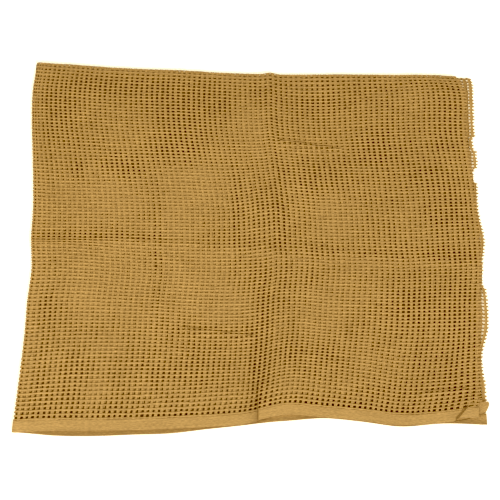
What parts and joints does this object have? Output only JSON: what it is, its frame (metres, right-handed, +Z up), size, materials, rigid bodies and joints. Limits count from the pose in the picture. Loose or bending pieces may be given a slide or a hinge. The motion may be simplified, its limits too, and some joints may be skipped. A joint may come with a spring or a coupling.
{
  "type": "sniper veil",
  "caption": "Scarf of open tan cotton net, folded in four and lying flat, with woven selvedges along the near edge and frayed cut ends on the right.",
  "frame": {"origin": "centre of the folded cloth's box, on the surface it lies on", "axes": "+X along the selvedges from the rolled fold to the cut ends, +Y from the selvedges to the far fold, +Z up"},
  "size_m": [0.558, 0.468, 0.0109],
  "materials": {
    "cotton_net": "matte tan cotton net, bundled yarns"
  },
  "bodies": {
    "root": {"veil": "cotton_net"}
  },
  "joints": []
}
